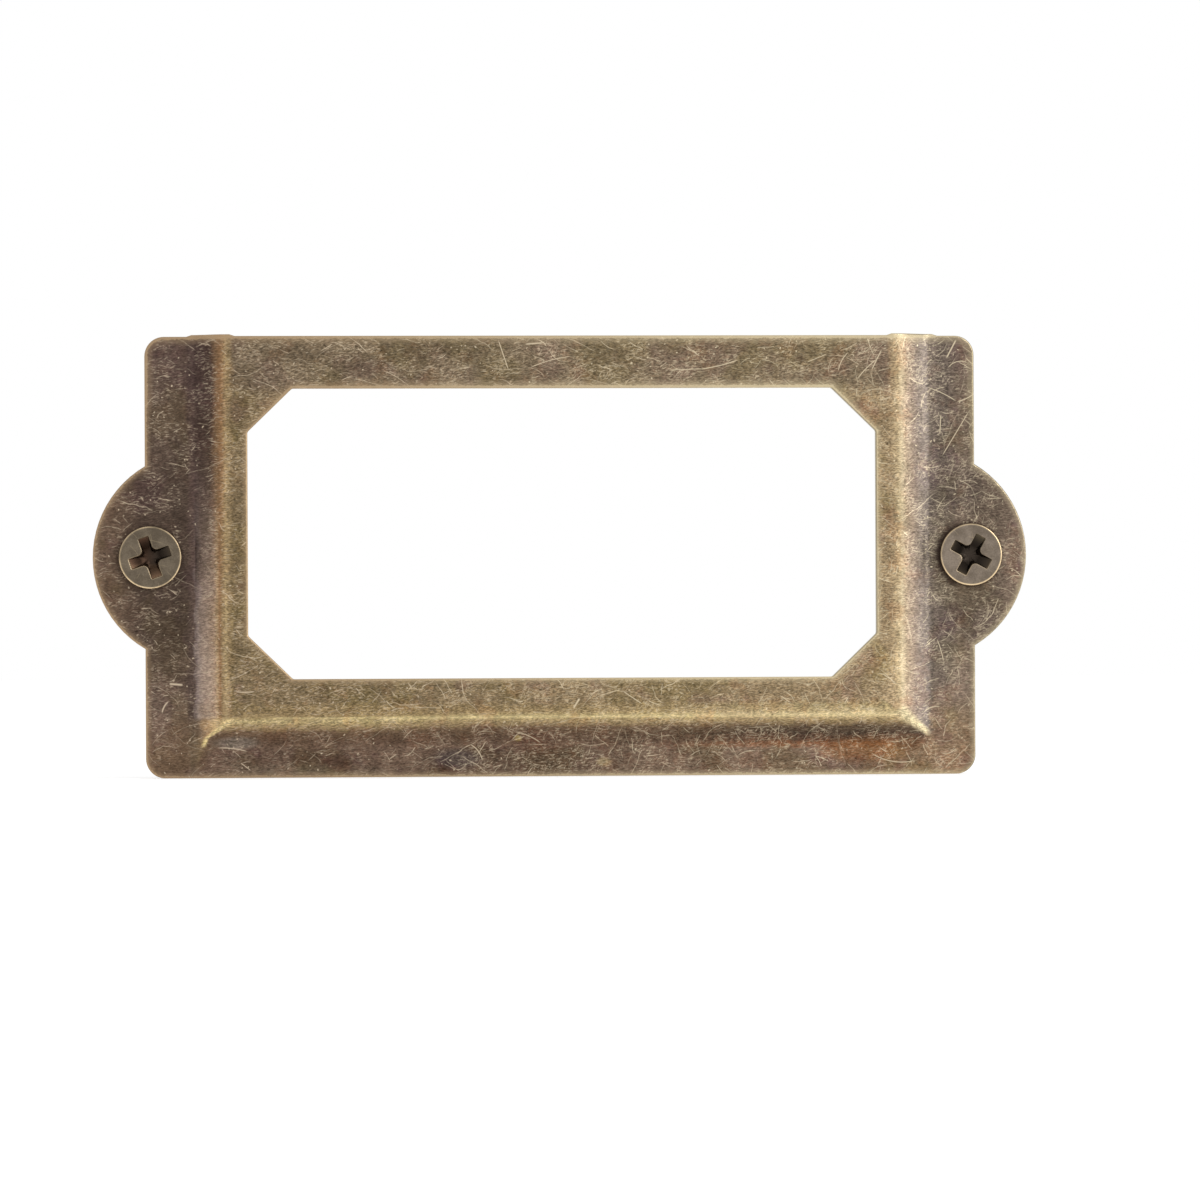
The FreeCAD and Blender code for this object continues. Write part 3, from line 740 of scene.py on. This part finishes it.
def bent_plane(sheet):
    """The plane of the patterns in slow waves, so that no line on it runs quite straight."""
    graph, plane = sheet.graph, sheet.plane
    waves = graph.node("ShaderNodeTexNoise", {"Vector": plane, "Scale": 0.8, "Detail": 2.0}).outputs[1]
    shift = graph.scaled(graph.vector("SUBTRACT", waves, (0.5, 0.5, 0.5)), 0.5)
    return graph.vector("ADD", plane, shift)


def polish_mask(sheet):
    """How far the marks are rubbed away: a little on the lower side walls, more along the top lines."""
    graph = sheet.graph
    wall = graph.times(graph.band(sheet.side, 0.5, 1.7, 0.2), graph.step(sheet.gap, 0.15, -0.15))
    wall = graph.times(wall, sheet.lower_half, 0.15)
    return graph.largest(wall, graph.times(graph.band(sheet.down, -0.1, 0.1, 0.15), 0.35))


def mottling(sheet, bent, marks, polish):
    """Tone of the patina: blotches, grain, a short fibre that runs mostly across, and dark pits."""
    graph = sheet.graph
    fibre = streaks(graph, bent, 4.0, 0.8, 0.16)
    tone = graph.times(
        graph.step(sheet.blotch, 0.32, 0.68, 0.85, 1.15),
        graph.step(fibre, 0.35, 0.65, 0.86, 1.14),
        graph.step(sheet.grain, 0.35, 0.65, 0.86, 1.14),
    )
    fine = streaks(graph, bent, 6.0, 0.26, 0.085)
    swing = graph.step(sheet.down, 0.4, 1.0, 0.32, 0.24)
    tone = graph.raised(tone, graph.step(fine, 0.35, 0.65, -1.0, 1.0), swing)
    calm = graph.largest(polish, graph.step(sheet.x, -24.5, -26.5, 0.0, 0.15))
    tone = graph.math("ADD", graph.times(graph.math("SUBTRACT", 1.0, calm), tone), calm)
    pits = marks.layer(density=0.8, length=0.11, width=0.11, curl=0.0, share=0.3)
    return graph.raised(tone, pits, -0.55)


def scratch_clusters(sheet):
    """How thick the fine scratches lie: in clusters, and thinner outside the panel on the left."""
    graph, x, z = sheet.graph, sheet.x, sheet.z
    quiet = graph.times(graph.step(sheet.down, 0.6, 1.2), graph.step(x, -4.0, -16.0))
    between = graph.math("MULTIPLY_ADD", quiet, -0.2, 0.3)
    cluster = graph.step(graph.noise(sheet.plane, 0.55, 3.0, 0.6), 0.42, 0.58, between, 1.0)
    cluster = graph.raised(cluster, quiet, -0.2)
    beside_wall = graph.times(graph.band(x, -28.4, -27.2, 0.4), graph.band(z, -9.0, 6.0, 2.0))
    cluster = graph.raised(cluster, beside_wall, -0.8)
    foot_left = graph.times(graph.step(z, -12.8, -13.8), graph.step(x, -4.0, -12.0))
    cluster = graph.raised(cluster, foot_left, -0.35)
    return graph.times(cluster, graph.step(x, 27.5, 30.0, 1.0, 0.8))


def brushed_lines(sheet, bent):
    """Brushed lines in three headings; the two slanting ones take turns over the right part."""
    graph = sheet.graph
    flat = graph.step(streaks(graph, bent, 5.0, 0.45, 0.085), 0.56, 0.70)
    up = graph.step(streaks(graph, bent, 58.0, 0.4, 0.085), 0.58, 0.72)
    down = graph.step(streaks(graph, bent, -36.0, 0.4, 0.085), 0.58, 0.72)
    right_part = graph.step(sheet.x, -22.0, -2.0, 0.2, 1.0)
    up = graph.times(up, right_part, graph.step(sheet.blotch, 0.48, 0.6))
    down = graph.times(down, right_part, graph.step(sheet.blotch, 0.52, 0.4))
    return graph.largest(up, down, flat)


def scratch_mask(sheet, marks, brushed, cluster):
    """All scattered scratches together: fine ones in clusters, longer ones anywhere."""
    graph, x = sheet.graph, sheet.x
    spread_below = graph.step(x, -24.0, 8.0, 1.9, 3.0)
    spread = graph.step(sheet.z, 11.0, 13.0, spread_below, graph.step(x, 8.0, 22.0, 1.4, 3.0))
    fine_spread = graph.step(x, 20.0, 27.0, 1.1, 3.0)
    length = graph.step(x, -26.0, -4.0, 0.36, 0.72)
    fuzz = marks.layers(2, density=1.6, length=0.22, width=0.055, curl=1.2, spread=fine_spread, share=0.8)
    hairs = marks.layers(3, density=0.8, length=length, width=0.048, curl=0.9, spread=spread, share=0.32)
    curls = marks.layers(3, density=0.32, length=1.5, width=0.048, curl=0.45, spread=spread, share=0.38)
    specks = marks.layers(2, density=1.1, length=0.07, width=0.08, curl=0.0, share=0.28)
    fine = graph.largest(graph.times(brushed, 0.5), graph.times(fuzz, 0.52))
    coarse = graph.largest(hairs, graph.times(curls, 0.95))
    coarse = graph.times(coarse, graph.math("MULTIPLY_ADD", cluster, 0.6, 0.4))
    return graph.largest(graph.times(fine, cluster), coarse, graph.times(specks, 0.95))


def lay_screw_shadows(sheet, color):
    """Painted shadow round the screws: a crescent mostly on their left and a thin ring right round each head,
    weaker at the left screw.
    """
    graph, x = sheet.graph, sheet.x
    beside = graph.math("SUBTRACT", x, graph.left_right(x, -SCREW_PLACE, SCREW_PLACE))
    from_screw = graph.vector("LENGTH", graph.join(beside, sheet.z, 0.0))
    screw_shadow = graph.times(graph.step(from_screw, 2.95, 2.35), graph.step(beside, 0.4, -2.0, 0.0, 0.85))
    screw_shadow = graph.largest(screw_shadow, graph.step(from_screw, 2.6, 2.35, 0.0, 0.6))
    screw_shadow = graph.times(screw_shadow, graph.left_right(x, 0.5, 1.0))
    return graph.mix(screw_shadow, color, linear(52, 40, 34))


def worn_edges_and_shade_aside(sheet, color):
    """Cut edges, worn bright, with the shine fading inwards, and painted shade on the faces turned aside at
    the right end: gives the colour and the bright line's mask.
    """
    graph, x, z = sheet.graph, sheet.x, sheet.z
    inside = cut_edge_distance(graph, x, z)
    inside = graph.math("ADD", inside, graph.step(sheet.grain, 0.3, 0.7, -0.05, 0.05))
    inside = graph.times(inside, graph.step(z, 10.0, 12.0, 1.0, 0.7))
    bright_to = graph.step(x, 25.0, 29.0, 0.12, 0.05)
    line = graph.step(inside, bright_to, graph.step(x, 25.0, 29.0, 0.2, 0.17), 0.8, 0.0)
    shine = graph.step(inside, 0.1, 0.55, 0.3, 0.0)
    edge_color = graph.mix(graph.step(x, -28.0, 20.0), linear(174, 148, 116), linear(212, 196, 160))
    edge = graph.times(graph.largest(line, shine), graph.step(x, 25.0, 29.0, 1.0, 0.85))
    color = graph.mix(edge, color, edge_color)

    # painted shade: the faces turned aside at the right end are darkened towards black, apart from the lower
    # half of the ear
    turned_aside = graph.step(graph.math("ABSOLUTE", sheet.aside), 0.1, 0.6)
    painted_shade_aside = graph.times(turned_aside, graph.step(x, 15.0, 20.0), graph.step(inside, 0.2, 0.05, 0.0, 0.4))
    ear_foot = graph.times(graph.step(x, 31.2, 31.5), graph.step(z, 2.0, -3.0, 0.0, 0.9))
    painted_shade_aside = graph.raised(painted_shade_aside, ear_foot, -1.0)
    return graph.mix(painted_shade_aside, color, BLACK), line


def finish_metal(graph, color, roughness, relief, strength):
    """The metal shader with a fine relief, on the material's output."""
    inputs = {"Height": relief, "Strength": strength, "Distance": RELIEF_HEIGHT}
    bump = graph.node("ShaderNodeBump", inputs).outputs[0]
    inputs = {"Base Color": color, "Metallic": 1.0, "Roughness": roughness, "Normal": bump}
    shader = graph.node("ShaderNodeBsdfPrincipled", inputs)
    graph.node("ShaderNodeOutputMaterial", {"Surface": shader.outputs[0]})


def antique_brass(scratch_marks, hairline_marks):
    material, graph = new_material("antique_brass")
    sheet = Sheet(graph)
    # drift runs left to right, wavering with the clouds; the flats' paling along it is part patina, part
    # painted light from the right
    drift = graph.math("ADD", sheet.x, graph.step(sheet.clouds, 0.3, 0.7, -12.0, 12.0))
    flange = flange_color(sheet, drift)
    panel = panel_color(sheet, drift)
    sheet.measure_bends()
    color = graph.mix(graph.step(sheet.down, -0.2, 0.2), panel, flange)
    bend = graph.band(sheet.down, -0.7, 2.05, 0.5)
    # the bends' patina, with painted highlights along the shoulders and painted light and shade on the walls
    color = lay_bends(sheet, color, bend)
    color = graph.shaded(color, right_end_tone(sheet))
    color = lay_stains(sheet, color)
    color = lay_patches(sheet, color, bend)

    bent = bent_plane(sheet)
    marks = Scratches(graph, scratch_marks, bent)
    polish = polish_mask(sheet)
    color = graph.shaded(color, mottling(sheet, bent, marks, polish))

    # scratches down to bare brass
    cluster = scratch_clusters(sheet)
    brushed = brushed_lines(sheet, bent)
    scratched = scratch_mask(sheet, marks, brushed, cluster)
    scratched = graph.times(scratched, graph.step(sheet.grain, 0.35, 0.6, 0.6, 1.0))
    long_lines = hairlines(graph, hairline_marks, sheet.plane)
    scratched = graph.largest(scratched, graph.times(long_lines, 0.8))
    scratched = graph.times(scratched, graph.math("SUBTRACT", 1.0, polish))
    bare = graph.mix(graph.step(sheet.x, -28.0, 12.0), linear(214, 195, 168), linear(226, 210, 178))
    color = graph.mix(scratched, color, bare)

    # painted shadow of the screw heads on the sheet
    color = lay_screw_shadows(sheet, color)
    # worn edges, and painted shade on the faces turned aside at the right end
    color, line = worn_edges_and_shade_aside(sheet, color)
    roughness = graph.step(graph.largest(scratched, line), 0.0, 1.0, 0.46, 0.34)
    finish_metal(graph, color, roughness, graph.noise(sheet.plane, 6.0, 2.0, 0.6), 0.12)
    return material


# Screws

def arc(centre, radius, first, last, steps):
    """Points of an arc between two angles in degrees."""
    points = []
    for index in range(steps + 1):
        angle = math.radians(first + (last - first) * index / steps)
        points.append((centre[0] + radius * math.cos(angle), centre[1] + radius * math.sin(angle)))
    return points


def turn_points(points, degrees):
    angle = math.radians(degrees)
    cos, sin = math.cos(angle), math.sin(angle)
    return [(across * cos - up * sin, across * sin + up * cos) for across, up in points]


def cross_outline(span, wing, corner, grow):
    """A cross with rounded corners, pushed outwards by grow, always with the same number of points."""
    reach, side = span / 2 + grow, wing / 2 + grow
    tip = WING_ROUNDING + grow
    quarter = arc((reach - tip, side - tip), tip, 0, 90, 3)
    quarter += arc((corner, corner), corner - side, 270, 180, 8)
    quarter += arc((side - tip, reach - tip), tip, 0, 90, 3)
    return [point for turn in range(4) for point in turn_points(quarter, 90 * turn)]


def circle(radius):
    return arc((0, 0), radius, 0, 360 * (1 - 1 / TURN_SEGMENTS), TURN_SEGMENTS - 1)


class ScrewMesh:
    """Builds one screw along +Z in millimetres, with two values a point: how worn and how deep it is."""

    def __init__(self):
        self.mesh = bmesh.new()
        self.worn = self.mesh.verts.layers.float.new("worn")
        self.deep = self.mesh.verts.layers.float.new("deep")

    def ring(self, points, height, worn=0.0, deep=0.0):
        made = []
        for across, up in points:
            vertex = self.mesh.verts.new((across, up, height))
            vertex[self.worn] = worn
            vertex[self.deep] = deep
            made.append(vertex)
        return made

    def stack(self, rings):
        """Walls of four-sided faces from each ring to the next."""
        for first, second in zip(rings, rings[1:]):
            for index in range(len(first)):
                after = (index + 1) % len(first)
                self.mesh.faces.new((first[index], first[after], second[after], second[index]))

    def fill_between(self, *rings):
        edges = []
        for ring in rings:
            for index, vertex in enumerate(ring):
                edges.append(self.mesh.edges.get((vertex, ring[(index + 1) % len(ring)])))
        bmesh.ops.triangle_fill(self.mesh, use_beauty=True, use_dissolve=False, edges=edges)

    def close(self, ring, height, deep):
        centre = self.ring([(0, 0)], height, 0.0, deep)[0]
        for index, vertex in enumerate(ring):
            self.mesh.faces.new((vertex, ring[(index + 1) % len(ring)], centre))


def make_recess(screw, turn):
    """The cross recess: an eased mouth, tapering walls and a shallow cone at the floor."""
    def cross(size, depth, grow, worn, deep):
        points = turn_points(cross_outline(*size, grow), turn)
        return screw.ring(points, HEAD_TOP - depth, worn, deep)

    wall = [first + (last - first) * WALL_SHARE for first, last in zip(MOUTH, FLOOR)]
    rings = [cross(MOUTH, *row) for row in MOUTH_ROWS]
    rings.append(cross(wall, RECESS_DEPTH * WALL_SHARE, 0.0, 0.0, WALL_DEEP))
    rings.append(cross(FLOOR, RECESS_DEPTH, 0.0, 0.0, 1.0))
    screw.stack(rings)
    screw.close(rings[-1], HEAD_TOP - RECESS_DEPTH - RECESS_TIP, 1.0)
    return rings[0]


def make_head(screw):
    """From the flat face round the rim and down the cone to the neck."""
    face_radius = HEAD_RADIUS - HEAD_ROUNDING
    rings = [
        screw.ring(circle(face_radius - WEAR_START), HEAD_TOP),
        screw.ring(circle(face_radius - WEAR_GROWN), HEAD_TOP, 0.6),
    ]
    for radius, height in arc((face_radius, HEAD_TOP - HEAD_ROUNDING), HEAD_ROUNDING, 75, 0, 4):
        rings.append(screw.ring(circle(radius), height, 1.0))
    rings.append(screw.ring(circle(HEAD_RADIUS), RIM_START + RIM_EASE, 0.4))
    rings.append(screw.ring(circle(HEAD_RADIUS - RIM_EASE), RIM_START - RIM_EASE, 0.2))
    cone_end = RIM_START - (HEAD_RADIUS - NECK_RADIUS)
    rings.append(screw.ring(circle(NECK_RADIUS + EASE_ABOVE), cone_end + EASE_ABOVE))
    rings.append(screw.ring(circle(NECK_RADIUS), cone_end - EASE_BELOW))
    rings.append(screw.ring(circle(NECK_RADIUS), NECK_END))
    screw.stack(rings)
    return rings[0]


def thread_radius(height, rise):
    """Radius of the threaded shank: rise is 0 at the root and 1 at the crest."""
    taper = min((height - SCREW_TIP) / POINT_LENGTH, 1.0)
    fade = min((NECK_END - height) / THREAD_FADE, 1.0)
    fade = fade * fade * (3 - 2 * fade)
    root = NECK_RADIUS + (CORE_RADIUS - NECK_RADIUS) * fade
    return (root + (SHANK_RADIUS - root) * rise * fade) * taper


def make_thread(screw):
    """A grid whose rows climb one pitch a turn, so each crest runs along a row. It ends flat at the neck."""
    turns = math.ceil((NECK_END - SCREW_TIP) / THREAD_PITCH) + 1
    rows = [(turn + share, rise) for turn in range(-1, turns) for share, rise in THREAD_ROWS]
    columns = []
    for index in range(TURN_SEGMENTS + 1):
        share = index / TURN_SEGMENTS
        angle = math.tau * share
        column = []
        for place, rise in rows:
            height = SCREW_TIP + (place + share) * THREAD_PITCH
            height = min(max(height, SCREW_TIP), NECK_END)
            radius = thread_radius(height, rise)
            column += screw.ring([(radius * math.cos(angle), radius * math.sin(angle))], height)
        columns.append(column)
    for first, second in zip(columns, columns[1:]):
        for row in range(len(rows) - 1):
            screw.mesh.faces.new((first[row], second[row], second[row + 1], first[row + 1]))


def make_screw(name, place, turn, material):
    screw = ScrewMesh()
    screw.fill_between(make_head(screw), make_recess(screw, turn))
    make_thread(screw)
    mesh = screw.mesh
    bmesh.ops.remove_doubles(mesh, verts=mesh.verts, dist=WELD_DISTANCE)
    bmesh.ops.recalc_face_normals(mesh, faces=mesh.faces)
    towards_viewer = Matrix.Rotation(math.radians(90), 4, "X")
    bmesh.ops.transform(mesh, matrix=Matrix.Scale(MM, 4) @ towards_viewer, verts=mesh.verts)
    data = bpy.data.meshes.new(name)
    mesh.to_mesh(data)
    mesh.free()
    data.shade_smooth()
    data.set_sharp_from_angle(angle=math.radians(SHARP_ANGLE))
    data.materials.append(material)
    piece = bpy.data.objects.new(name, data)
    piece.location = (place * MM, 0, 0)
    bpy.context.scene.collection.objects.link(piece)
    return piece


def bronzed_metal(scratch_marks):
    """Finish of both screws: places are from each screw's own axis, and the room's tell them apart."""
    material, graph = new_material("bronzed_screw")
    place = graph.scaled(graph.node("ShaderNodeTexCoord").outputs["Object"], 1 / MM)
    x, y, z = graph.split(place)
    around = graph.join(x, z, 0.0)
    room_x, _, _ = graph.split(graph.node("ShaderNodeNewGeometry").outputs["Position"])
    on_right = graph.step(room_x, -MM, MM)
    on_left = graph.math("SUBTRACT", 1.0, on_right)
    worn = graph.node("ShaderNodeAttribute", attribute_name="worn").outputs["Fac"]
    deep = graph.node("ShaderNodeAttribute", attribute_name="deep").outputs["Fac"]
    clouds = graph.step(graph.noise(around, 0.8, 3.0, 0.6), 0.3, 0.7)
    grain = graph.noise(graph.join(x, graph.math("ADD", z, y), 0.0), 9.0, 3.0, 0.7)
    left = graph.mix(clouds, linear(94, 84, 71), linear(112, 101, 86))
    right = graph.mix(clouds, linear(109, 98, 86), linear(130, 118, 105))
    color = graph.mix(on_right, left, right)
    color = graph.shaded(color, graph.step(grain, 0.25, 0.75, 0.86, 1.14))

    # a few fine marks
    marks = Scratches(graph, scratch_marks, around)
    hairs = marks.layers(3, density=0.9, length=0.5, width=0.035, curl=0.4, share=0.45)
    color = graph.mix(graph.times(hairs, 0.35), color, linear(180, 162, 130))

    # the recess is dark: on the left screw reddish and paler at its foot, on the right paler at upper right
    red = graph.times(graph.step(x, 0.9, -0.5), on_left)
    wall = graph.mix(red, linear(78, 68, 56), linear(108, 82, 66))
    floor = graph.mix(red, linear(64, 56, 49), linear(66, 50, 40))
    pale_left = graph.times(graph.step(z, -0.35, -0.8), on_left)
    pale_right = graph.times(graph.step(graph.math("ADD", x, z), 0.9, 1.4), on_right)
    wall = graph.mix(pale_left, wall, linear(142, 112, 89))
    wall = graph.mix(pale_right, wall, linear(104, 94, 76))
    floor = graph.mix(pale_left, floor, linear(112, 90, 72))
    color = graph.mix(graph.step(deep, 0.1, 0.45), color, wall)
    color = graph.mix(graph.step(deep, 0.4, 0.9), color, floor)

    # edges rubbed to bright brass, unevenly, and less on the left screw, with a painted highlight on the side
    # that faces the light: the rim brighter to the right and below, the recess brighter at its lower left
    lean = graph.math("MULTIPLY_ADD", z, -0.9, x)
    rim_lit_side = graph.step(lean, -2.6, 0.2, 0.5, graph.step(on_right, 0.0, 1.0, 1.0, 1.25))
    recess_lit_side = graph.step(graph.math("MULTIPLY_ADD", x, 0.6, z), 0.6, -0.9, 0.4, 1.6)
    least = graph.step(on_right, 0.0, 1.0, 0.3, 0.6)
    uneven = graph.step(graph.noise(around, 0.35, 3.0, 0.6), 0.35, 0.6, least, 1.0)
    from_axis = graph.vector("LENGTH", around)
    uneven = graph.times(uneven, graph.step(from_axis, 1.9, 2.1, recess_lit_side, rim_lit_side))
    # rubbed brass with its painted highlight
    rubbed_and_highlight = graph.times(worn, uneven, graph.step(grain, 0.2, 0.6, 0.7, 1.0))
    color = graph.mix(rubbed_and_highlight, color, linear(236, 210, 168))
    roughness = graph.step(rubbed_and_highlight, 0.0, 1.0, 0.42, 0.3)
    finish_metal(graph, color, roughness, graph.noise(around, 8.0, 2.0, 0.6), 0.08)
    return material


# Scene

def main():
    make_camera()
    make_studio()
    scratch_marks = scratch_group()
    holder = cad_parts["label_frame"]
    holder.data.materials.clear()
    holder.data.materials.append(antique_brass(scratch_marks, hairline_group()))
    metal = bronzed_metal(scratch_marks)
    for node, turn in SCREW_TURNS.items():
        side = -1 if node == "screw_left" else 1
        piece = make_screw(f"{node}_threaded", side * SCREW_PLACE, turn, metal)
        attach(piece, "root")
        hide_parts(node)


main()
